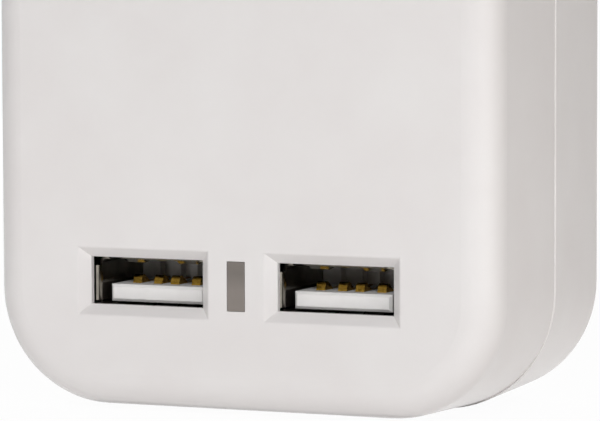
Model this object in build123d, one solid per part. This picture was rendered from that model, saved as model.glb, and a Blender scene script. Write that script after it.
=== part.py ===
from build123d import *
from math import cos, radians, sin, tan
import os

# A charging adapter that plugs straight into a mains socket, with two charging ports in its front.
# X points right, Y points from the front face to the wall and Z points up.
# The origin lies midway between the mains pins, on the end face of the plug.
# Lengths are in millimetres and angles in degrees.

# Housing
body_width = 58.9  # at the parting line, where it is widest
body_height = 76.0  # at the parting line
body_depth = 32.1
seam_depth = 16.7  # from the front face to the parting line
corner_radius = 12.9  # at the parting line
edge_radius = 3.7  # round the front face
back_edge_radius = 1.4
draft_angle = 1.7
wall = 1.7
inner_edge_radius = 0.5  # least rounding inside the covers
rim_step = 0.15  # the rear cover's rim stands out from the front cover's
lip_thickness = 1.0
lip_height = 1.8
lip_gap = 0.15
mouth_gap = 0.4  # between the front wall and the receptacles
pick_gap = 0.01  # margin for finding edges by their place

# Housing screws, their bosses and recesses
boss_radius = 3.0
boss_gap = 0.7  # between a boss and the wall
screw_direction = 45.0  # from the centre of a body corner's rounding
screw_radius = 1.3
screw_grip = 8.0  # length in the front boss
screw_head_radius = 2.6
screw_head_height = 1.8
screw_drive_width = 0.8
screw_drive_length = 3.0
screw_drive_depth = 1.0
screw_seat_thickness = 2.5
screw_hole_gap = 0.2
screw_thread_gap = 0.05
recess_gap = 0.3
recess_wall = 1.2

# Plug moulded on the rear cover
plug_height = 46.0  # pin axis above the body's lower side
plug_length = 17.0
plug_side = 8.35  # from a pin's axis to the plug's side point
plug_thickness = 13.7
plug_flank_angle = 45.0
plug_corner_radius = 1.5
plug_edge_radius = 0.8
plug_root_radius = 1.0
plug_end_thickness = 5.0

# Mains pins and their sleeves
pin_spacing = 18.6
pin_radius = 2.0
pin_length = 19.0
pin_tip_radius = 1.2
pin_core_radius = 1.5
pin_collar_rim = 1.0
pin_collar_thickness = 1.5
pin_tail_length = 7.0
pin_gap = 0.05
sleeve_length = 10.0  # beyond the plug

# Sprung strips from the pin tails to the board
strip_width = 4.0
strip_thickness = 0.4
strip_overlap = 6.0
strip_lead_in = 1.0
strip_foot = 4.0
strip_bend_radius = 0.6

# Openings in the front face
port_pitch = 21.85
port_height = 13.9  # above the body's lower side
port_width = 13.2
port_opening = 5.1
port_bezel = 1.1  # depth of the bevelled surround
bezel_angle = 45.0
bezel_edge_radius = 0.4
window_width = 2.1
window_height = 5.3
window_gap = 0.05
window_flange = 0.8
window_flange_thickness = 1.0

# Charging receptacles
receptacle_shift = 0.14  # each stands nearer the middle than its opening
receptacle_drop = 0.37  # and lower than its opening
shell_width = 12.5  # inside
shell_height = 5.12  # inside
shell_corner_radius = 0.5
sheet = 0.3
flare_depth = 0.67
flare_angle = 52.0
side_flare_length = 3.75
top_flare_length = 10.4
spring_spacing = 6.3
spring_width = 2.3
spring_length = 5.0
spring_rise = 0.45
spring_tip = 0.8
spring_slot = 0.3
spring_setback = 0.8
shell_leg_width = 2.0
tongue_width = 11.1
tongue_thickness = 1.84
tongue_length = 9.2
tongue_setback = 1.23  # behind the flared mouth
tongue_drop_gap = 0.5  # above the shell's lower side
tongue_bevel = 0.3
base_thickness = 3.0
base_gap = 0.05

# Contacts of the receptacles
contact_places = (-3.5, -1.0, 1.0, 3.5)
contact_width = 1.0
contact_thickness = 0.3
contact_rise = 0.9
contact_nose = 2.3  # behind the tongue's front
contact_peak = 2.75  # behind the tongue's front
contact_heel = 4.5  # behind the tongue's front
contact_bend_radius = 0.35
contact_bed = 0.2  # centre of the strip below the tongue's upper side
groove_gap = 0.1
channel_depth = 1.2

# Circuit board and the parts on it
board_thickness = 1.6
board_gap = 0.5
part_gap = 1.0
headroom = 1.3  # between the tallest parts and the front wall
lead_radius = 0.3
lead_gap = 0.1
lead_tail = 1.2
input_can_radius = 5.0
input_can_pitch = 5.0
output_can_radius = 4.0
output_can_pitch = 3.5
can_edge_radius = 0.6
can_groove_height = 1.5
can_groove_width = 0.6
can_groove_depth = 0.3
core_width = 16.1
core_length = 14.4
core_thickness = 4.8
core_leg = 4.0
core_side_leg = 2.05
core_yoke = 1.6
bobbin_gap = 0.1
bobbin_wall = 0.6
bobbin_flange = 0.8
bobbin_depth = 10.4
rail_length = 2.5
rail_stand = 1.0
winding_inset = 0.3
winding_corner_radius = 1.5
winding_gap = 0.05
transformer_pin_pitch = 2.5
transformer_pin_radius = 0.35
transformer_pin_set = 2.0
transformer_pins_per_rail = 4
choke_radius = 4.0
choke_height = 7.0
choke_flange = 1.2
choke_waist = 0.6
choke_pitch = 5.0
fuse_radius = 1.75
fuse_length = 9.0
fuse_cap_length = 1.5
fuse_waist = 0.2
fuse_stand = 0.3
fuse_lead_reach = 2.0
disc_radius = 4.5
disc_thickness = 4.0
disc_edge_radius = 1.2
disc_stand = 0.5
disc_pitch = 5.0
bridge_size = (8.0, 6.5, 2.6)
chip_size = (4.0, 5.0, 1.5)
coupler_size = (6.5, 4.6, 3.5)
diode_size = (6.9, 5.9, 2.3)
light_size = (1.6, 3.2, 1.2)
light_gap = 0.3
body_chamfer = 0.3
foot_thickness = 0.25
foot_reach = 1.1
foot_length = 0.6
bridge_feet_per_side = 2
bridge_foot_pitch = 5.1
bridge_foot_width = 1.0
chip_feet_per_side = 4
chip_foot_pitch = 1.27
chip_foot_width = 0.4
coupler_feet_per_side = 2
coupler_foot_pitch = 2.54
coupler_foot_width = 0.5
diode_foot_width = 3.0

# Places that follow from the sizes
front_y = -(plug_length + body_depth)
back_y = -plug_length
seam_y = front_y + seam_depth
bottom_z = -plug_height
top_z = bottom_z + body_height
centre_z = (bottom_z + top_z) / 2
port_z = bottom_z + port_height
receptacle_z = port_z - receptacle_drop
mouth_y = front_y + wall + mouth_gap
shell_front_y = mouth_y + flare_depth
tongue_y = mouth_y + tongue_setback
socket_back_y = tongue_y + tongue_length
board_front_y = socket_back_y + base_thickness
board_back_y = board_front_y + board_thickness
tongue_low_z = receptacle_z - shell_height / 2 + tongue_drop_gap
tongue_top_z = tongue_low_z + tongue_thickness
contact_z = tongue_top_z - contact_bed
screw_reach = corner_radius - wall - boss_gap - boss_radius
screw_x = body_width / 2 - corner_radius + screw_reach * cos(radians(screw_direction))
screw_rise = body_height / 2 - corner_radius + screw_reach * sin(radians(screw_direction))
screw_places = [(i * screw_x, centre_z + j * screw_rise) for i in (-1, 1) for j in (-1, 1)]
screw_seat_y = board_back_y + screw_seat_thickness
recess_radius = screw_head_radius + recess_gap
pin_x = pin_spacing / 2
collar_y = -plug_end_thickness - pin_collar_thickness
can_length = board_front_y - front_y - wall - headroom
flare_radius = flare_depth / sin(radians(flare_angle))
flare_reach = flare_radius * (1 - cos(radians(flare_angle))) + sheet
receptacle_top_z = receptacle_z + shell_height / 2 + sheet + flare_reach
rail_z = core_length / 2 - core_yoke - bobbin_gap - bobbin_flange
transformer_z = receptacle_top_z + part_gap + rail_z + rail_length
transformer_y = board_front_y - rail_stand - bobbin_depth / 2
input_can_x = core_width / 2 + part_gap + input_can_radius
input_can_z = receptacle_top_z + part_gap + input_can_radius
second_row_z = transformer_z + rail_z + rail_length + part_gap + disc_radius
output_can_x = output_can_radius + part_gap / 2
coupler_x = -(output_can_x + output_can_radius + part_gap + foot_reach + coupler_size[0] / 2)
disc_x = pin_x + strip_width / 2 + part_gap
mains_row_z = top_z / 2
bridge_x = -(choke_radius + part_gap + foot_reach + bridge_size[0] / 2)
fuse_x = choke_radius + part_gap + fuse_lead_reach + fuse_length / 2
fuse_lead_x = fuse_length / 2 + fuse_lead_reach
diode_z = input_can_z + input_can_radius + diode_size[1] / 2


def facing_wall(y, x=0, z=0):
    """Plane across the body that faces the wall, upright."""
    return Plane((x, y, z), x_dir=(-1, 0, 0), z_dir=(0, 1, 0))


def facing_front(y, x=0, z=0):
    """Plane across the body that faces the front, upright."""
    return Plane((x, y, z), x_dir=(1, 0, 0), z_dir=(0, -1, 0))


def lengthwise(x):
    """Plane along the body's depth, with Y to its right and Z upward."""
    return Plane((x, 0, 0), x_dir=(0, 1, 0), z_dir=(1, 0, 0))


def bar(shape, x, z, y_from, y_to):
    """Straight bar of a given section between two depths."""
    return extrude(facing_wall(y_from, x, z) * shape, amount=y_to - y_from)


def rod(x, z, radius, y_from, y_to):
    """Round bar between two depths."""
    return bar(Circle(radius), x, z, y_from, y_to)


def around(centre, size):
    """Lowest and highest value of a span about its centre."""
    return centre - size / 2, centre + size / 2


def block(x_span, y_span, z_span):
    """Box between two values along each axis."""
    spans = (x_span, y_span, z_span)
    sizes = [high - low for low, high in spans]
    lows = [low for low, high in spans]
    return Pos(*lows) * Box(*sizes, align=(Align.MIN, Align.MIN, Align.MIN))


def bent_strip(path, thickness, width, x):
    """Flat strip bent along a path of depths and heights."""
    section = lengthwise(x) * trace(path, line_width=thickness)
    return extrude(section, amount=width / 2, both=True)


def body_outline(grow):
    """Outline of the body at the parting line, grown by a margin."""
    return RectangleRounded(body_width + 2 * grow, body_height + 2 * grow, corner_radius + grow)


def drafted_block(rim, grow, depth, edge):
    """Block from the parting line to one face, narrowed by the draft, with its far edge rounded."""
    solid = extrude(rim * body_outline(grow), amount=depth, taper=draft_angle)
    far_face = solid.faces().sort_by(Axis(rim.origin, rim.z_dir))[-1]
    return fillet(far_face.edges(), edge)


def hollow_half(rim, grow, depth, edge):
    """One drafted half of the housing, open at the parting line."""
    inner_edge = max(edge - wall, inner_edge_radius)
    return drafted_block(rim, grow, depth, edge) - drafted_block(rim, grow - wall, depth - wall, inner_edge)


def port_cut(x):
    """Opening of one port through the front wall, with its bevelled surround."""
    opening = bar(Rectangle(port_width, port_opening), x, port_z, front_y, front_y + wall)
    spread = port_bezel * tan(radians(bezel_angle))
    outer = Rectangle(port_width + 2 * spread, port_opening + 2 * spread)
    return opening + extrude(facing_wall(front_y, x, port_z) * outer, amount=port_bezel, taper=bezel_angle)


def edges_at_depth(solid, y):
    """Edges of a solid that lie in one plane across the body."""
    return solid.edges().filter_by_position(Axis.Y, y - pick_gap, y + pick_gap)


def bezel_edges(cover):
    """Edges in which the ports' bevelled surrounds meet the front face."""
    edges = edges_at_depth(cover, front_y).filter_by_position(Axis.X, -port_pitch, port_pitch)
    return edges.filter_by_position(Axis.Z, port_z - port_opening, port_z + port_opening)


def front_cover():
    """Front half of the housing, with the port openings and the screw bosses."""
    rim = facing_front(seam_y, 0, centre_z)
    cover = hollow_half(rim, 0, seam_depth, edge_radius)
    cover -= extrude(rim * body_outline(lip_thickness - wall), amount=lip_height + lip_gap)
    for x, z in screw_places:
        cover += rod(x, z, boss_radius, front_y + wall, board_front_y)
        cover -= rod(x, z, screw_radius + screw_thread_gap, screw_seat_y - screw_grip - part_gap, board_front_y)
    for x in (-port_pitch / 2, port_pitch / 2):
        cover -= port_cut(x)
    cover = fillet(bezel_edges(cover), bezel_edge_radius)
    cover -= bar(Rectangle(window_width, window_height), 0, port_z, front_y, front_y + wall)
    return cover


def plug_outline(inset):
    """Flat six-sided outline of the plug, with its points to the sides."""
    point_x = pin_x + plug_side - inset / sin(radians(plug_flank_angle))
    flat_z = plug_thickness / 2 - inset
    flat_x = point_x - flat_z / tan(radians(plug_flank_angle))
    corners = [(point_x, 0), (flat_x, flat_z), (-flat_x, flat_z)]
    corners += [(-x, -z) for x, z in corners]
    outline = Polygon(*corners, align=None)
    return fillet(outline.vertices(), plug_corner_radius)


def rear_cover():
    """Rear half of the housing, with the plug, the rim's lip and the screw recesses."""
    rim = facing_wall(seam_y, 0, centre_z)
    depth = body_depth - seam_depth
    cover = drafted_block(rim, rim_step, depth, back_edge_radius)
    cover = fillet(edges_at_depth(cover, seam_y), rim_step)
    plug = bar(plug_outline(0), 0, 0, back_y - wall, 0)
    plug = fillet(plug.faces().sort_by(Axis.Y)[-1].edges(), plug_edge_radius)
    cover += plug
    root = edges_at_depth(cover, back_y).filter_by_position(Axis.Z, -plug_thickness, plug_thickness)
    cover = fillet(root.filter_by_position(Axis.X, -pin_spacing, pin_spacing), plug_root_radius)
    cover -= drafted_block(rim, rim_step - wall, depth - wall, inner_edge_radius)
    cover -= bar(plug_outline(wall), 0, 0, back_y - wall, -plug_end_thickness)
    lip = body_outline(lip_thickness - wall - lip_gap) - body_outline(rim_step - wall)
    cover += extrude(facing_front(seam_y, 0, centre_z) * lip, amount=lip_height)
    for x, z in screw_places:
        cover += rod(x, z, recess_radius + recess_wall, board_back_y, back_y - wall)
        cover -= rod(x, z, recess_radius, screw_seat_y, back_y)
        cover -= rod(x, z, screw_radius + screw_hole_gap, board_back_y, screw_seat_y)
    for x in (-pin_x, pin_x):
        cover -= rod(x, 0, pin_radius + pin_gap, -plug_end_thickness, 0)
    return cover


def housing_screws():
    """Cross-recessed screws that draw the two covers together."""
    screws = []
    for x, z in screw_places:
        head = rod(x, z, screw_head_radius, screw_seat_y, screw_seat_y + screw_head_height)
        head = fillet(head.faces().sort_by(Axis.Y)[-1].edges(), screw_head_height / 2)
        drive_y = screw_seat_y + screw_head_height - screw_drive_depth
        for width, height in ((screw_drive_width, screw_drive_length), (screw_drive_length, screw_drive_width)):
            head -= bar(Rectangle(width, height), x, z, drive_y, drive_y + 2 * screw_drive_depth)
        shank = rod(x, z, screw_radius, screw_seat_y - screw_grip, screw_seat_y)
        screws.append(head + chamfer(shank.faces().sort_by(Axis.Y)[0].edges(), screw_radius / 2))
    return Compound(screws)


def mains_pin(x):
    """Turned pin with a full tip, a slim core under its sleeve, and a collar and tail inside the plug."""
    tip = rod(x, 0, pin_radius, sleeve_length, pin_length)
    pin = fillet(tip.faces().sort_by(Axis.Y)[-1].edges(), pin_tip_radius)
    pin += rod(x, 0, pin_core_radius, -plug_end_thickness, sleeve_length)
    pin += rod(x, 0, pin_radius + pin_collar_rim, collar_y, -plug_end_thickness)
    return pin + rod(x, 0, pin_core_radius, collar_y - pin_tail_length, collar_y)


def pin_sleeve(x):
    """Insulating sleeve flush with the pin's tip, seated on its collar."""
    outer = rod(x, 0, pin_radius, -plug_end_thickness, sleeve_length)
    return outer - rod(x, 0, pin_core_radius + pin_gap, -plug_end_thickness, sleeve_length)


def pin_contact(x):
    """Sprung strip that lies under a pin's tail and turns down on the board."""
    strip_z = -(pin_core_radius + pin_gap + strip_thickness / 2)
    tip_y = collar_y - pin_tail_length + strip_overlap
    foot_y = board_back_y + strip_thickness / 2
    path = FilletPolyline(
        (tip_y, strip_z - strip_lead_in),
        (tip_y - strip_lead_in, strip_z),
        (foot_y, strip_z),
        (foot_y, strip_z - strip_foot),
        radius=strip_bend_radius,
    )
    return bent_strip(path, strip_thickness, strip_width, x)


def indicator_window():
    """Light guide from the front face to the light on the board, with a flange behind the wall."""
    guide = Rectangle(window_width - 2 * window_gap, window_height - 2 * window_gap)
    light_y = board_front_y - light_size[2]
    window = bar(guide, 0, port_z, front_y, light_y - light_gap)
    flange = Rectangle(window_width + window_flange, window_height + 2 * window_flange)
    return window + bar(flange, 0, port_z, front_y + wall, front_y + wall + window_flange_thickness)


def indicator_light():
    """Light-emitting diode behind the window."""
    return bar(Rectangle(light_size[0], light_size[1]), 0, port_z, board_front_y - light_size[2], board_front_y)


def flared_tab(origin, outward, length):
    """Tab of the shell's mouth that curls outward."""
    forward = Vector(0, -1, 0)
    plane = Plane(origin, x_dir=-outward, z_dir=forward.cross(outward))
    curl = CenterArc((-flare_radius, 0), flare_radius, 0, flare_angle)
    return extrude(plane * trace(curl, line_width=sheet), amount=length / 2, both=True)


def contact_spring(x, direction):
    """Spring of the shell, cut free on three sides and bent into the opening, with its slot."""
    sheet_z = receptacle_z + direction * (shell_height + sheet) / 2
    slot_front_y = shell_front_y + spring_setback
    root_y = slot_front_y + spring_slot + spring_length
    slot = block(
        around(x, spring_width + 2 * spring_slot),
        (slot_front_y, root_y),
        around(sheet_z, 2 * sheet),
    )
    path = Polyline(
        (root_y + sheet, sheet_z),
        (root_y, sheet_z),
        (root_y - spring_length + spring_tip, sheet_z - direction * spring_rise),
        (root_y - spring_length, sheet_z),
    )
    return slot, bent_strip(path, sheet, spring_width, x)


def port_shell(x):
    """Folded sheet shell of one receptacle, with flared tabs, springs and legs."""
    outer = RectangleRounded(shell_width + 2 * sheet, shell_height + 2 * sheet, shell_corner_radius + sheet)
    inner = RectangleRounded(shell_width, shell_height, shell_corner_radius)
    shell = bar(outer - inner, x, receptacle_z, shell_front_y, board_front_y)
    side_x = (shell_width + sheet) / 2
    edge_z = (shell_height + sheet) / 2
    for i in (-1, 1):
        side = Vector(x + i * side_x, shell_front_y, receptacle_z)
        shell += flared_tab(side, Vector(i, 0, 0), side_flare_length)
        edge = Vector(x, shell_front_y, receptacle_z + i * edge_z)
        shell += flared_tab(edge, Vector(0, 0, i), top_flare_length)
        leg = around(x + i * side_x, sheet)
        leg_depth = (board_front_y - sheet, board_back_y + lead_tail)
        shell += block(leg, leg_depth, around(receptacle_z, shell_leg_width))
        for j in (-1, 1):
            slot, spring = contact_spring(x + i * spring_spacing / 2, j)
            shell = shell - slot + spring
    return shell


def port_insulator(x):
    """Moulded base of one receptacle with its tongue, grooved for the contacts."""
    tongue = block(around(x, tongue_width), (tongue_y, socket_back_y), (tongue_low_z, tongue_top_z))
    tongue = chamfer(tongue.faces().sort_by(Axis.Y)[0].edges(), tongue_bevel)
    base = RectangleRounded(shell_width - 2 * base_gap, shell_height - 2 * base_gap, shell_corner_radius)
    insulator = tongue + bar(base, x, receptacle_z, socket_back_y, board_front_y)
    groove_low_z = contact_z - contact_thickness / 2 - groove_gap
    groove_front_y = tongue_y + contact_nose - contact_thickness - groove_gap
    channel_back_y = socket_back_y + channel_depth
    channel_top_z = receptacle_z + shell_height / 2
    for place in contact_places:
        across = around(x + place, contact_width + 2 * groove_gap)
        insulator -= block(across, (groove_front_y, board_front_y), (groove_low_z, tongue_top_z))
        insulator -= block(across, (socket_back_y, channel_back_y), (tongue_top_z, channel_top_z))
    return insulator


def port_contacts(x):
    """Gold-plated strips that arch over the tongue, with tails through the board."""
    path = FilletPolyline(
        (board_back_y + lead_tail, contact_z),
        (tongue_y + contact_heel, contact_z),
        (tongue_y + contact_peak, tongue_top_z + contact_rise),
        (tongue_y + contact_nose, contact_z),
        radius=contact_bend_radius,
    )
    strips = [bent_strip(path, contact_thickness, contact_width, x + place) for place in contact_places]
    return Compound(strips)


def lead_pair(x, z, pitch):
    """Places of a part's two leads."""
    return [(x - pitch / 2, z), (x + pitch / 2, z)]


def receptacle_places():
    """Centres of the two receptacles across the body."""
    reach = port_pitch / 2 - receptacle_shift
    return {"left": -reach, "right": reach}


def transformer_pin_places():
    """Places of the pins under both rails of the bobbin."""
    row_x = spaced_rows(transformer_pins_per_rail, transformer_pin_pitch)
    reach = rail_z + rail_length / 2
    return [(x, transformer_z + i * reach) for i in (-1, 1) for x in row_x]


def lead_places():
    """Places of every round lead through the board."""
    places = lead_pair(0, mains_row_z, choke_pitch) + lead_pair(fuse_x, mains_row_z, 2 * fuse_lead_x)
    places += [(disc_x, second_row_z + i * disc_pitch / 2) for i in (-1, 1)]
    for i in (-1, 1):
        places += lead_pair(i * input_can_x, input_can_z, input_can_pitch)
        places += lead_pair(i * output_can_x, second_row_z, output_can_pitch)
    return places


def circuit_board():
    """Board clamped between the screw bosses, with holes for the screws, tails and leads."""
    board = bar(body_outline(-wall - board_gap), 0, centre_z, board_front_y, board_back_y)
    holes = [(x, z, screw_radius + screw_hole_gap) for x, z in screw_places]
    holes += [(x, z, lead_radius + lead_gap) for x, z in lead_places()]
    holes += [(x, z, transformer_pin_radius + lead_gap) for x, z in transformer_pin_places()]
    for x, z, radius in holes:
        board -= rod(x, z, radius, board_front_y, board_back_y)
    depths = (board_front_y, board_back_y)
    for x in receptacle_places().values():
        for place in contact_places:
            tail_x = around(x + place, contact_width + 2 * lead_gap)
            board -= block(tail_x, depths, around(contact_z, contact_thickness + 2 * lead_gap))
        for i in (-1, 1):
            leg_x = around(x + i * (shell_width + sheet) / 2, sheet + 2 * lead_gap)
            board -= block(leg_x, depths, around(receptacle_z, shell_leg_width + 2 * lead_gap))
    return board


def standing_can(x, z, radius, length, pitch):
    """Electrolytic capacitor that stands on the front of the board."""
    can = rod(x, z, radius, board_front_y - length, board_front_y)
    can = fillet(can.faces().sort_by(Axis.Y)[0].edges(), can_edge_radius)
    groove = Circle(radius) - Circle(radius - can_groove_depth)
    groove_y = board_front_y - can_groove_height
    can -= bar(groove, x, z, groove_y - can_groove_width, groove_y)
    for lead_x, lead_z in lead_pair(x, z, pitch):
        can += rod(lead_x, lead_z, lead_radius, board_front_y, board_back_y + lead_tail)
    return can


def input_capacitors():
    """Pair of cans on the mains side."""
    cans = []
    for x in (-input_can_x, input_can_x):
        cans.append(standing_can(x, input_can_z, input_can_radius, can_length, input_can_pitch))
    return Compound(cans)


def output_capacitors():
    """Pair of smaller cans on the charging side."""
    length = can_length - part_gap
    cans = []
    for x in (-output_can_x, output_can_x):
        cans.append(standing_can(x, second_row_z, output_can_radius, length, output_can_pitch))
    return Compound(cans)


def transformer_core():
    """Ferrite core with a middle leg between two windows."""
    depth = around(transformer_y, core_thickness)
    core = block(around(0, core_width), depth, around(transformer_z, core_length))
    window_length = core_length - 2 * core_yoke
    for i in (-1, 1):
        window_x = sorted((i * core_leg / 2, i * (core_width / 2 - core_side_leg)))
        core -= block(window_x, depth, around(transformer_z, window_length))
    return core


def bobbin_tube(grow):
    """Section round the core's middle leg, grown by a margin."""
    return Rectangle(core_leg + 2 * grow, core_thickness + 2 * grow)


def along_core(shape, z_low, z_high):
    """Bar of a given section along the transformer's middle leg."""
    plane = Plane((0, transformer_y, transformer_z + z_low), x_dir=(1, 0, 0), z_dir=(0, 0, 1))
    return extrude(plane * shape, amount=z_high - z_low)


def transformer_bobbin():
    """Moulded bobbin with two flanges, and two rails that stand on the board."""
    end_z = rail_z + bobbin_flange
    flange_width = core_width - 2 * core_side_leg - 2 * bobbin_gap
    bobbin = along_core(bobbin_tube(bobbin_gap + bobbin_wall), -end_z, end_z)
    rail_y = (transformer_y + core_thickness / 2 + bobbin_gap, board_front_y)
    for low, high in ((-end_z, -rail_z), (rail_z, end_z)):
        bobbin += along_core(Rectangle(flange_width, bobbin_depth), low, high)
    for i in (-1, 1):
        rail = sorted((transformer_z + i * rail_z, transformer_z + i * (rail_z + rail_length)))
        bobbin += block(around(0, flange_width), rail_y, rail)
    bobbin -= along_core(bobbin_tube(bobbin_gap), -end_z, end_z)
    for x, z in transformer_pin_places():
        hole_radius = transformer_pin_radius + winding_gap
        bobbin -= rod(x, z, hole_radius, board_front_y - transformer_pin_set, board_front_y)
    return bobbin


def transformer_winding():
    """Taped winding between the bobbin's flanges."""
    width = core_width - 2 * core_side_leg - 2 * bobbin_gap - 2 * winding_inset
    taped = RectangleRounded(width, bobbin_depth - 2 * winding_inset, winding_corner_radius)
    tube = bobbin_tube(bobbin_gap + bobbin_wall + winding_gap)
    return along_core(taped - tube, winding_gap - rail_z, rail_z - winding_gap)


def transformer_pins():
    """Tinned pins set into the rails."""
    start_y = board_front_y - transformer_pin_set
    end_y = board_back_y + lead_tail
    pins = [rod(x, z, transformer_pin_radius, start_y, end_y) for x, z in transformer_pin_places()]
    return Compound(pins)


def input_choke():
    """Drum choke on the back of the board."""
    end_y = board_back_y + choke_height
    choke = rod(0, mains_row_z, choke_radius, board_back_y, end_y)
    waist = Circle(choke_radius) - Circle(choke_radius - choke_waist)
    choke -= bar(waist, 0, mains_row_z, board_back_y + choke_flange, end_y - choke_flange)
    for x, z in lead_pair(0, mains_row_z, choke_pitch):
        choke += rod(x, z, lead_radius, board_front_y - lead_tail, board_back_y)
    return choke


def fuse_resistor():
    """Fusible resistor that lies on the back of the board, with its leads bent down."""
    axis_y = board_back_y + fuse_stand + fuse_radius
    along = Plane((fuse_x, axis_y, mains_row_z), x_dir=(0, 1, 0), z_dir=(1, 0, 0))
    fuse = extrude(along * Circle(fuse_radius), amount=fuse_length / 2, both=True)
    waist = Circle(fuse_radius) - Circle(fuse_radius - fuse_waist)
    fuse -= extrude(along * waist, amount=fuse_length / 2 - fuse_cap_length, both=True)
    for i in (-1, 1):
        end_x = fuse_x + i * fuse_length / 2
        lead_x = fuse_x + i * fuse_lead_x
        path = FilletPolyline(
            (end_x, axis_y, mains_row_z),
            (lead_x, axis_y, mains_row_z),
            (lead_x, board_front_y - lead_tail, mains_row_z),
            radius=fuse_lead_reach / 2,
        )
        start = Plane((end_x, axis_y, mains_row_z), z_dir=(i, 0, 0))
        fuse += sweep(start * Circle(lead_radius), path=path)
    return fuse


def safety_capacitor():
    """Coated disc capacitor that stands on the front of the board."""
    disc_y = board_front_y - disc_stand - disc_radius
    plane = Plane((disc_x, disc_y, second_row_z), x_dir=(0, 1, 0), z_dir=(1, 0, 0))
    disc = extrude(plane * Circle(disc_radius), amount=disc_thickness / 2, both=True)
    disc = fillet(disc.edges().filter_by(GeomType.CIRCLE), disc_edge_radius)
    for i in (-1, 1):
        disc += rod(disc_x, second_row_z + i * disc_pitch / 2, lead_radius, disc_y, board_back_y + lead_tail)
    return disc


def footed_part(place, size, foot_rows, foot_width, surface_y, outward):
    """Moulded part on the board, with bent feet along its left and right sides."""
    x, z = place
    width, height, thickness = size
    depth = sorted((surface_y + outward * foot_thickness, surface_y + outward * thickness))
    solid = block(around(x, width), depth, around(z, height))
    solid = chamfer(solid.edges().filter_by(Axis.Y), body_chamfer)
    shoulder_y = surface_y + outward * thickness / 2
    foot_y = surface_y + outward * foot_thickness / 2
    for i in (-1, 1):
        knee_x = i * (width / 2 + foot_reach - foot_length)
        path = Polyline(
            (i * (width / 2 - foot_thickness), shoulder_y),
            (knee_x, shoulder_y),
            (knee_x, foot_y),
            (i * (width / 2 + foot_reach), foot_y),
        )
        for row_z in foot_rows:
            section = Plane((x, 0, z + row_z)) * trace(path, line_width=foot_thickness)
            solid += extrude(section, amount=foot_width / 2, both=True)
    return solid


def spaced_rows(count, pitch):
    """Evenly spaced places about a middle."""
    return [(i - (count - 1) / 2) * pitch for i in range(count)]


def bridge_rectifier():
    """Bridge rectifier beside the choke."""
    rows = spaced_rows(bridge_feet_per_side, bridge_foot_pitch)
    return footed_part((bridge_x, mains_row_z), bridge_size, rows, bridge_foot_width, board_back_y, 1)


def controller_chip():
    """Controller behind the transformer."""
    rows = spaced_rows(chip_feet_per_side, chip_foot_pitch)
    return footed_part((0, transformer_z), chip_size, rows, chip_foot_width, board_back_y, 1)


def optocoupler():
    """Coupler across the gap between the mains and charging sides."""
    rows = spaced_rows(coupler_feet_per_side, coupler_foot_pitch)
    return footed_part((coupler_x, second_row_z), coupler_size, rows, coupler_foot_width, board_front_y, -1)


def output_diode():
    """Rectifier diode of the charging side, with one wide foot at each end."""
    return footed_part((input_can_x, diode_z), diode_size, [0], diode_foot_width, board_back_y, 1)


nodes = {
    "front_cover": front_cover(),
    "rear_cover": rear_cover(),
    "housing_screws": housing_screws(),
    "indicator_window": indicator_window(),
    "indicator_light": indicator_light(),
    "circuit_board": circuit_board(),
    "transformer_core": transformer_core(),
    "transformer_bobbin": transformer_bobbin(),
    "transformer_winding": transformer_winding(),
    "transformer_pins": transformer_pins(),
    "input_capacitors": input_capacitors(),
    "output_capacitors": output_capacitors(),
    "input_choke": input_choke(),
    "fuse_resistor": fuse_resistor(),
    "safety_capacitor": safety_capacitor(),
    "bridge_rectifier": bridge_rectifier(),
    "controller_chip": controller_chip(),
    "optocoupler": optocoupler(),
    "output_diode": output_diode(),
}
for side, x in receptacle_places().items():
    nodes[f"{side}_port_shell"] = port_shell(x)
    nodes[f"{side}_port_insulator"] = port_insulator(x)
    nodes[f"{side}_port_contacts"] = port_contacts(x)
for side, x in (("left", -pin_x), ("right", pin_x)):
    nodes[f"{side}_mains_pin"] = mains_pin(x)
    nodes[f"{side}_pin_sleeve"] = pin_sleeve(x)
    nodes[f"{side}_pin_contact"] = pin_contact(x)

os.makedirs("parts", exist_ok=True)
for name, solid in nodes.items():
    export_step(solid, f"parts/{name}.step")
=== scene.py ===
import math
import bpy
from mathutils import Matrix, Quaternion, Vector


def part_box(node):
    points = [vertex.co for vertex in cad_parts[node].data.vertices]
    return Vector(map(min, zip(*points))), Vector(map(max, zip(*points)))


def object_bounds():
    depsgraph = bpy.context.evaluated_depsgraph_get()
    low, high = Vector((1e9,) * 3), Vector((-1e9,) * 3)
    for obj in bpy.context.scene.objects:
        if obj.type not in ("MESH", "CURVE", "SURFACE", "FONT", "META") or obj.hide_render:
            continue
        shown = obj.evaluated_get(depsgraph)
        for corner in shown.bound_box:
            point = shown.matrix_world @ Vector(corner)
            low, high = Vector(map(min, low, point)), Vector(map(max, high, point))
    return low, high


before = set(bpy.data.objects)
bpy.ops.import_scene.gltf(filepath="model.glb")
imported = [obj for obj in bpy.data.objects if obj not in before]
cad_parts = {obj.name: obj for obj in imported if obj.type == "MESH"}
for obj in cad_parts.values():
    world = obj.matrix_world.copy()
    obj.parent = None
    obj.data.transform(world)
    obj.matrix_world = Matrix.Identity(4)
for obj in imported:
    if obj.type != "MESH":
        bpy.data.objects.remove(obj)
cad_low, cad_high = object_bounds()

# A white plug-in charging adapter with two ports, on a white sweep under soft studio light.
# Lengths are in metres unless a name ends in _mm, and angles are in degrees.
mm_per_metre = 1000

# View of the photograph
image_width = 600
camera_azimuth = 23.866  # to the right of the front face's normal
camera_elevation = 4.432
camera_roll = -0.181
camera_distance = 0.39186
camera_target = Vector((0.00741, -0.0491, -0.02386))
camera_focal_pixels = 3765.4
camera_near_share = 0.1  # of the camera's distance, where its view begins
sensor_width_mm = 36.0

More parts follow.
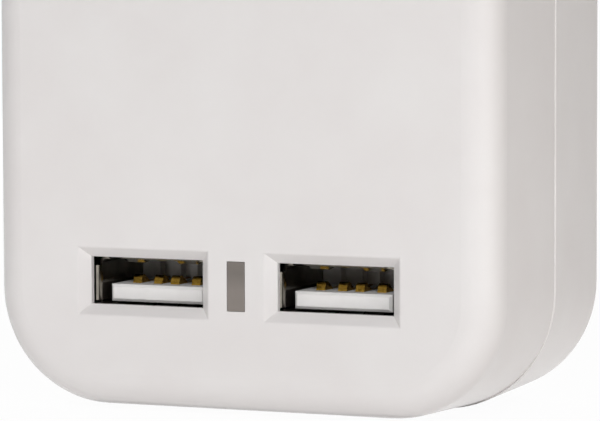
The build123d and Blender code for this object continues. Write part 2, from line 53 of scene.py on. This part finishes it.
# Light
white = "#FFFFFF"
warm_tint = "#FFCB92"
ambient_level = 0.02
table_size = 0.19
table_level = 0.2
table_lift = 0.001  # above the floor
floor_size = 4.0
floor_white_share = 0.97  # of the floor's own brightness, so that its shadow stays faint
first_bounce = 0.5  # between no diffuse bounce of a ray and one

# Shader nodes
wave_radians = 20.0  # turned by a wave texture over one unit of length
mix_factor = 0  # a mix node's colour sockets are numbered, because others share their names
mix_first = 6
mix_second = 7
mix_result = 2


def linear(code):
    """Linear colour with full alpha from an sRGB hex code."""
    parts = [int(code[i:i + 2], 16) / 255 for i in (1, 3, 5)]
    curved = [p / 12.92 if p <= 0.04045 else ((p + 0.055) / 1.055) ** 2.4 for p in parts]
    return (*curved, 1.0)


def per_mm(size_mm):
    """Texture scale at which a pattern repeats about once in that many millimetres."""
    return mm_per_metre / size_mm


def bands_per_mm(size_mm):
    """Wave texture scale at which its bands repeat once in that many millimetres."""
    return per_mm(size_mm) * math.tau / wave_radians


def add(tree, kind, inputs=None, **settings):
    """Adds a node, with its settings, and values or links for its inputs."""
    made = tree.nodes.new(kind)
    for name, value in settings.items():
        setattr(made, name, value)
    for name, value in (inputs or {}).items():
        if isinstance(value, bpy.types.NodeSocket):
            tree.links.new(value, made.inputs[name])
        else:
            made.inputs[name].default_value = value
    return made


def start_material(name, **inputs):
    """New material with a principled surface, its uniform values and the place on the piece."""
    material = bpy.data.materials.new(name)
    material.use_nodes = True
    tree = material.node_tree
    tree.nodes.clear()
    values = {word.replace("_", " "): value for word, value in inputs.items()}
    shader = add(tree, "ShaderNodeBsdfPrincipled", values)
    add(tree, "ShaderNodeOutputMaterial", {"Surface": shader.outputs["BSDF"]})
    place = add(tree, "ShaderNodeTexCoord").outputs["Object"]
    return material, tree, shader, place


def paint_stops(ramp, stops):
    """Sets the places and colours of a colour ramp's stops, from low to high."""
    elements = ramp.color_ramp.elements
    while len(elements) < len(stops):
        elements.new(1.0)
    for element, (position, code) in zip(elements, stops):
        element.position = position
        element.color = linear(code)


def mottle(tree, place, patch_mm, tones, reach=(0.3, 0.7), detail=3.0):
    """Colour that wanders between two tones in soft patches; reach says where each tone is full."""
    noise = add(tree, "ShaderNodeTexNoise", {"Vector": place, "Scale": per_mm(patch_mm), "Detail": detail})
    ramp = add(tree, "ShaderNodeValToRGB", {"Fac": noise.outputs["Fac"]})
    paint_stops(ramp, list(zip(reach, tones)))
    return ramp.outputs["Color"], noise.outputs["Fac"]


def rolling_lines(tree, place, line_mm):
    """Fine lines along the way a sheet was rolled, with their length along each axis."""
    scale = [per_mm(length) for length in line_mm]
    stretched = add(tree, "ShaderNodeMapping", {"Vector": place, "Scale": scale}).outputs["Vector"]
    lines = add(tree, "ShaderNodeTexNoise", {"Vector": stretched, "Scale": 1.0, "Detail": 2.0})
    return lines.outputs["Fac"]


def emboss(tree, shader, height, depth_mm):
    """Gives a surface a relief of a real depth from a pattern."""
    bump = add(tree, "ShaderNodeBump", {"Height": height, "Distance": depth_mm / mm_per_metre})
    tree.links.new(bump.outputs["Normal"], shader.inputs["Normal"])


def dress(tree, shader, colour, pattern, roughness, depth_mm, ridges=None):
    """Gives a surface its colour, and a roughness and a relief that follow a pattern.

    The roughness lies between two limits. The relief follows the ridges instead where there are any.
    """
    low, high = roughness
    rough = add(tree, "ShaderNodeMapRange", {"Value": pattern, "To Min": low, "To Max": high})
    tree.links.new(colour, shader.inputs["Base Color"])
    tree.links.new(rough.outputs["Result"], shader.inputs["Roughness"])
    emboss(tree, shader, pattern if ridges is None else ridges, depth_mm)


def mottled(name, patch_mm, tones, roughness, depth_mm, reach=(0.3, 0.7), detail=3.0, **inputs):
    """Material whose colour, roughness and relief wander together in soft patches."""
    material, tree, shader, place = start_material(name, **inputs)
    colour, patches = mottle(tree, place, patch_mm, tones, reach, detail)
    dress(tree, shader, colour, patches, roughness, depth_mm)
    return material


def moulded_abs():
    """White ABS from a spark-eroded mould: a satin skin with a fine even grain and no gloss."""
    material, tree, shader, place = start_material("moulded_abs", IOR=1.53, Specular_IOR_Level=0.3)
    colour, _ = mottle(tree, place, patch_mm=9.0, tones=("#E1DDDC", "#E4E1E0"))
    grain_mm = 0.25  # the real grain is about 0.05 mm, drawn coarser to show
    grain = add(tree, "ShaderNodeTexNoise", {"Vector": place, "Scale": per_mm(grain_mm), "Detail": 2.0})
    dress(tree, shader, colour, grain.outputs["Fac"], roughness=(0.2, 0.28), depth_mm=0.006)
    return material


def smoked_polycarbonate():
    """Smoke-tinted polycarbonate light guide: smooth grey, with painted shade darkest above its middle and a
    painted highlight at its top rim.
    """
    material, tree, shader, place = start_material("smoked_polycarbonate", Roughness=0.35, IOR=1.585)
    low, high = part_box("indicator_window")
    height = add(tree, "ShaderNodeSeparateXYZ", {"Vector": place}).outputs["Z"]
    level = add(tree, "ShaderNodeMapRange", {"Value": height, "From Min": low.z, "From Max": high.z})
    tint = add(tree, "ShaderNodeValToRGB", {"Fac": level.outputs["Result"]})
    # Painted light by height: painted shade darkest above the middle, lighter below it, and a painted
    # highlight along the top rim
    painted_shade_and_rim_highlight = (
        (0.0, "#837B75"),
        (0.45, "#7F7771"),
        (0.7, "#6D6660"),
        (0.93, "#746D67"),
        (1.0, "#9A938D"),
    )
    paint_stops(tint, painted_shade_and_rim_highlight)
    cloud, patches = mottle(tree, place, patch_mm=4.0, tones=("#F2F1F0", white))
    layers = {mix_factor: 1.0, mix_first: tint.outputs["Color"], mix_second: cloud}
    mixed = add(tree, "ShaderNodeMix", layers, data_type="RGBA", blend_type="MULTIPLY")
    tree.links.new(mixed.outputs[mix_result], shader.inputs["Base Color"])
    emboss(tree, shader, patches, depth_mm=0.01)
    return material


def tinned_sheet():
    """Tin-plated steel sheet, rolled and folded: a dull warm silver, darker than real tin plate as painted
    shade for the insides of the ports, with fine rolling lines.
    """
    material, tree, shader, place = start_material("tinned_sheet", Metallic=1.0)
    # Tones darker than real tin plate: painted shade for the insides of the ports
    colour, _ = mottle(tree, place, patch_mm=0.8, tones=("#77736B", "#89847B"))
    lines = rolling_lines(tree, place, line_mm=(0.08, 2.0, 0.08))
    dress(tree, shader, colour, lines, roughness=(0.1, 0.24), depth_mm=0.002)
    return material


def moulded_pbt():
    """White glass-filled PBT of the receptacle's insulator: a dull, nearly matt skin."""
    return mottled(
        "moulded_pbt",
        patch_mm=1.5,
        tones=("#F0EEEC", "#F4F2F1"),
        roughness=(0.38, 0.5),
        depth_mm=0.004,
        IOR=1.55,
        Specular_IOR_Level=0.05,
    )


def gold_plating():
    """Gold flash over nickel on stamped bronze: a deep yellow metal with faint wiping marks."""
    return mottled(
        "gold_plating",
        patch_mm=0.5,
        tones=("#C2983A", "#DDB654"),
        roughness=(0.1, 0.2),
        depth_mm=0.002,
        Metallic=1.0,
    )


def turned_nickel():
    """Nickel-plated brass pin, turned on a lathe: a bright metal with fine rings round it."""
    material, tree, shader, place = start_material("turned_nickel", Metallic=1.0)
    colour, patches = mottle(tree, place, patch_mm=2.0, tones=("#C6C2B6", "#D5D1C7"))
    ring_mm = 0.5  # the feed marks are finer, drawn coarser to show
    marks = {"Vector": place, "Scale": bands_per_mm(ring_mm), "Distortion": 0.4, "Detail": 1.0}
    rings = add(tree, "ShaderNodeTexWave", marks, bands_direction="Y").outputs["Fac"]
    dress(tree, shader, colour, patches, roughness=(0.14, 0.24), depth_mm=0.002, ridges=rings)
    return material


def sleeve_nylon():
    """Black nylon sleeve, moulded round the pin: a soft dark satin."""
    return mottled(
        "sleeve_nylon",
        patch_mm=1.2,
        tones=("#171716", "#201F1E"),
        roughness=(0.4, 0.55),
        depth_mm=0.01,
        IOR=1.53,
    )


def rolled_bronze():
    """Phosphor bronze strip, rolled: a brownish metal with lines along the strip."""
    material, tree, shader, place = start_material("rolled_bronze", Metallic=1.0)
    colour, _ = mottle(tree, place, patch_mm=1.5, tones=("#A9794A", "#BD8F5E"))
    lines = rolling_lines(tree, place, line_mm=(0.1, 3.0, 3.0))
    dress(tree, shader, colour, lines, roughness=(0.22, 0.38), depth_mm=0.004)
    return material


def zinc_plated_steel():
    """Bright zinc-plated steel screw: a cool grey metal with a faint cloudy bloom."""
    return mottled(
        "zinc_plated_steel",
        patch_mm=1.0,
        tones=("#AEB1B4", "#C4C6C8"),
        roughness=(0.24, 0.4),
        depth_mm=0.006,
        Metallic=1.0,
    )


def glass_epoxy():
    """Green-lacquered glass-epoxy board: a glossy skin over a square weave."""
    material, tree, shader, place = start_material("glass_epoxy", IOR=1.55)
    colour, patches = mottle(tree, place, patch_mm=3.0, tones=("#1F5A38", "#2A6B45"), reach=(0.35, 0.65))
    weave_mm = 1.2  # over one yarn and under the next
    yarns = {"Vector": place, "Scale": bands_per_mm(weave_mm)}
    across = add(tree, "ShaderNodeTexWave", yarns, bands_direction="X").outputs["Fac"]
    along = add(tree, "ShaderNodeTexWave", yarns, bands_direction="Z").outputs["Fac"]
    weave = add(tree, "ShaderNodeMath", {0: across, 1: along}, operation="MULTIPLY").outputs["Value"]
    dress(tree, shader, colour, patches, roughness=(0.22, 0.34), depth_mm=0.01, ridges=weave)
    return material


def cast_epoxy():
    """Cast epoxy of the light: milky and glossy."""
    material, tree, shader, place = start_material("cast_epoxy", Roughness=0.15, IOR=1.53)
    colour, patches = mottle(tree, place, patch_mm=0.8, tones=("#DCE3E6", "#EEF2F3"))
    tree.links.new(colour, shader.inputs["Base Color"])
    emboss(tree, shader, patches, depth_mm=0.004)
    return material


def sintered_ferrite():
    """Pressed and sintered ferrite: a matt dark grey with a fine sandy grain."""
    return mottled(
        "sintered_ferrite",
        patch_mm=0.35,
        tones=("#2B2A2A", "#3B3A39"),
        roughness=(0.55, 0.75),
        depth_mm=0.02,
        detail=5.0,
        IOR=1.9,
    )


def bobbin_phenolic():
    """Moulded phenolic bobbin: black with a low gloss."""
    return mottled(
        "bobbin_phenolic",
        patch_mm=1.0,
        tones=("#1B1A1A", "#262424"),
        roughness=(0.32, 0.46),
        depth_mm=0.01,
        IOR=1.6,
    )


def polyester_tape():
    """Yellow polyester tape, wound: smooth and shiny, with the edges of its turns showing."""
    material, tree, shader, place = start_material("polyester_tape", IOR=1.6)
    colour, patches = mottle(tree, place, patch_mm=2.5, tones=("#D9A92B", "#E8C04A"))
    turn_mm = 2.4  # from one edge of the tape to the next
    edges = {"Vector": place, "Scale": bands_per_mm(turn_mm), "Distortion": 1.5}
    turns = add(tree, "ShaderNodeTexWave", edges, bands_direction="Z", wave_profile="SAW").outputs["Fac"]
    dress(tree, shader, colour, patches, roughness=(0.2, 0.32), depth_mm=0.03, ridges=turns)
    return material


def dipped_tin():
    """Solder-dipped lead wire: a soft grey metal, slightly lumpy."""
    return mottled(
        "dipped_tin",
        patch_mm=0.6,
        tones=("#B5B5B1", "#CDCDC9"),
        roughness=(0.22, 0.4),
        depth_mm=0.02,
        Metallic=1.0,
    )


def shrunk_pvc():
    """Dark PVC film shrunk on the capacitor's can: glossy, with slight ripples."""
    return mottled(
        "shrunk_pvc",
        patch_mm=3.0,
        tones=("#202A3C", "#2A364C"),
        roughness=(0.2, 0.34),
        depth_mm=0.03,
        IOR=1.54,
    )


def moulding_epoxy():
    """Black epoxy moulding compound of the chips: matt, with a fine speckled filler."""
    return mottled(
        "moulding_epoxy",
        patch_mm=0.2,
        tones=("#1A1A1B", "#2A2A2B"),
        roughness=(0.5, 0.68),
        depth_mm=0.01,
        reach=(0.35, 0.7),
        detail=4.0,
        IOR=1.55,
    )


def shrunk_polyolefin():
    """Black heat-shrink tube over the choke: rubbery, with the turns of wire pressing through."""
    material, tree, shader, place = start_material("shrunk_polyolefin", IOR=1.5)
    colour, patches = mottle(tree, place, patch_mm=1.5, tones=("#1C1C1D", "#272727"))
    wire_mm = 1.0  # from one turn of wire to the next
    turns = {"Vector": place, "Scale": bands_per_mm(wire_mm), "Distortion": 0.6}
    wires = add(tree, "ShaderNodeTexWave", turns, bands_direction="Y").outputs["Fac"]
    dress(tree, shader, colour, patches, roughness=(0.45, 0.6), depth_mm=0.03, ridges=wires)
    return material


def flameproof_lacquer():
    """Grey-green flameproof lacquer on the resistor: matt, thick and slightly uneven."""
    return mottled(
        "flameproof_lacquer",
        patch_mm=1.2,
        tones=("#6F8279", "#82958B"),
        roughness=(0.45, 0.62),
        depth_mm=0.04,
        IOR=1.5,
    )


def dipped_epoxy():
    """Blue epoxy dip on the disc capacitor: glossy, with a gentle orange peel."""
    return mottled(
        "dipped_epoxy",
        patch_mm=1.0,
        tones=("#2B5AA0", "#3567B0"),
        roughness=(0.22, 0.36),
        depth_mm=0.03,
        IOR=1.55,
    )


def finish_solids():
    """Gives every solid the finish of its slot."""
    finishes = {
        "housing_plastic": moulded_abs(),
        "window_plastic": smoked_polycarbonate(),
        "shell_steel": tinned_sheet(),
        "tongue_plastic": moulded_pbt(),
        "contact_gold": gold_plating(),
        "pin_nickel": turned_nickel(),
        "sleeve_plastic": sleeve_nylon(),
        "strip_bronze": rolled_bronze(),
        "screw_steel": zinc_plated_steel(),
        "board_laminate": glass_epoxy(),
        "light_resin": cast_epoxy(),
        "core_ferrite": sintered_ferrite(),
        "bobbin_plastic": bobbin_phenolic(),
        "winding_tape": polyester_tape(),
        "lead_tin": dipped_tin(),
        "can_sleeve": shrunk_pvc(),
        "part_epoxy": moulding_epoxy(),
        "choke_sleeve": shrunk_polyolefin(),
        "resistor_coat": flameproof_lacquer(),
        "disc_coat": dipped_epoxy(),
    }
    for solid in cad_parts.values():
        for index, material in enumerate(solid.data.materials):
            solid.data.materials[index] = finishes[material.name]


def seen_directly(tree):
    """One for rays that carry the background to the eye, and nought for those that light the object."""
    path = add(tree, "ShaderNodeLightPath").outputs
    straight = {0: path["Is Camera Ray"], 1: path["Is Glossy Ray"]}
    pair = add(tree, "ShaderNodeMath", straight, operation="MAXIMUM")
    through = {0: pair.outputs["Value"], 1: path["Is Transmission Ray"]}
    carried = add(tree, "ShaderNodeMath", through, operation="MAXIMUM")
    bounces = {0: path["Diffuse Depth"], 1: first_bounce}
    mirrored_only = add(tree, "ShaderNodeMath", bounces, operation="LESS_THAN")
    seen = {0: carried.outputs["Value"], 1: mirrored_only.outputs["Value"]}
    return add(tree, "ShaderNodeMath", seen, operation="MULTIPLY").outputs["Value"]


def white_world():
    """White surroundings: full white to the eye, and only a little light."""
    world = bpy.data.worlds.new("white_surroundings")
    bpy.context.scene.world = world
    world.use_nodes = True
    tree = world.node_tree
    tree.nodes.clear()
    levels = {"Value": seen_directly(tree), "To Min": ambient_level, "To Max": 1.0}
    strength = add(tree, "ShaderNodeMapRange", levels).outputs["Result"]
    background = add(tree, "ShaderNodeBackground", {"Color": linear(white), "Strength": strength})
    add(tree, "ShaderNodeOutputWorld", {"Surface": background.outputs["Background"]})


def white_floor():
    """White paper sweep under the adapter, with its faint shadow."""
    bpy.ops.mesh.primitive_plane_add(size=floor_size, location=(0.0, 0.0, cad_low.z))
    floor = bpy.context.active_object
    floor.name = "floor"
    material = bpy.data.materials.new("paper_sweep")
    material.use_nodes = True
    tree = material.node_tree
    tree.nodes.clear()
    paper = add(tree, "ShaderNodeBsdfDiffuse", {"Color": linear("#F2F1F0")})
    glow = add(tree, "ShaderNodeEmission", {"Color": linear(white), "Strength": 1.0})
    levels = {"Value": seen_directly(tree), "To Min": 0.0, "To Max": floor_white_share}
    share = add(tree, "ShaderNodeMapRange", levels).outputs["Result"]
    layers = {0: share, 1: paper.outputs["BSDF"], 2: glow.outputs["Emission"]}
    mixed = add(tree, "ShaderNodeMixShader", layers)
    add(tree, "ShaderNodeOutputMaterial", {"Surface": mixed.outputs["Shader"]})
    floor.data.materials.append(material)


def direction(azimuth, elevation):
    """Unit vector from the adapter towards a viewer or lamp; azimuth 0 is in front and 90 to the right."""
    turn = math.radians(azimuth)
    lift = math.radians(elevation)
    return Vector((math.sin(turn) * math.cos(lift), -math.cos(turn) * math.cos(lift), math.sin(lift)))


def panel_lamp(name, place, facing, size, energy, tint, mirrored):
    """Flat soft lamp at a place, shining along a direction; one that isn't mirrored leaves no highlight."""
    lamp = bpy.data.lights.new(name, "AREA")
    lamp.shape = "RECTANGLE"
    lamp.size, lamp.size_y = size
    lamp.energy = energy
    lamp.color = linear(tint)[:3]
    holder = bpy.data.objects.new(name, lamp)
    bpy.context.scene.collection.objects.link(holder)
    holder.location = place
    holder.visible_glossy = mirrored
    holder.rotation_mode = "QUATERNION"
    holder.rotation_quaternion = facing.to_track_quat("-Z", "Y")


def softbox(name, aim, distance, size, level, tint=white, mirrored=True):
    """Soft lamp that shines on the middle of the view from an azimuth and elevation.

    Level 1 lights a facing white surface to white.
    """
    towards = direction(*aim)
    energy = level * (math.pi * distance) ** 2
    place = camera_target + towards * distance
    panel_lamp(name, place, -towards, size, energy, tint, mirrored)


def light_table():
    """Glowing panel under and around the adapter, which lifts the shade on its lower edges."""
    middle = (cad_low + cad_high) / 2
    place = Vector((middle.x, camera_target.y, cad_low.z + table_lift))
    up = Vector((0.0, 0.0, 1.0))
    energy = table_level * math.pi * table_size ** 2  # level 1 makes the panel itself white
    panel_lamp("light_table", place, up, (table_size, table_size), energy, white, mirrored=False)


def studio_lights():
    """Broad light from the upper front, strips at the right for the highlight and the bevels, and fill."""
    softbox("top_softbox", (8, 50), distance=0.55, size=(0.5, 0.3), level=0.07)
    softbox("front_softbox", (12, 27), distance=0.5, size=(0.3, 0.1), level=0.46, mirrored=False)
    softbox("front_right", (35, 25), distance=0.4, size=(0.15, 0.06), level=0.08)
    softbox("key_strip", (66, 2), distance=0.2, size=(0.17, 0.06), level=0.11)
    softbox("bevel_strip", (66, -8), distance=0.1, size=(0.073, 0.014), level=0.13, mirrored=False)
    softbox("low_left", (-38, -3), distance=0.1, size=(0.05, 0.02), level=0.09, mirrored=False)
    softbox("warm_fill", (110, 5), distance=0.4, size=(0.2, 0.2), level=0.05, tint=warm_tint, mirrored=False)
    softbox("back_left", (-140, 15), distance=0.6, size=(0.4, 0.3), level=0.34, mirrored=False)
    softbox("back_softbox", (192, 28), distance=0.6, size=(0.4, 0.3), level=0.3)


def place_camera():
    """Camera at the photograph's place, with its narrow view."""
    lens = bpy.data.cameras.new("view")
    lens.sensor_width = sensor_width_mm
    lens.lens = camera_focal_pixels * sensor_width_mm / image_width
    lens.clip_start = camera_distance * camera_near_share
    camera = bpy.data.objects.new("view", lens)
    bpy.context.scene.collection.objects.link(camera)
    back = direction(camera_azimuth, camera_elevation)
    camera.location = camera_target + back * camera_distance
    camera.rotation_mode = "QUATERNION"
    roll = Quaternion((0.0, 0.0, 1.0), math.radians(camera_roll))
    camera.rotation_quaternion = back.to_track_quat("Z", "Y") @ roll
    bpy.context.scene.camera = camera


bpy.context.scene.view_settings.view_transform = "Standard"
finish_solids()
white_world()
white_floor()
light_table()
studio_lights()
place_camera()
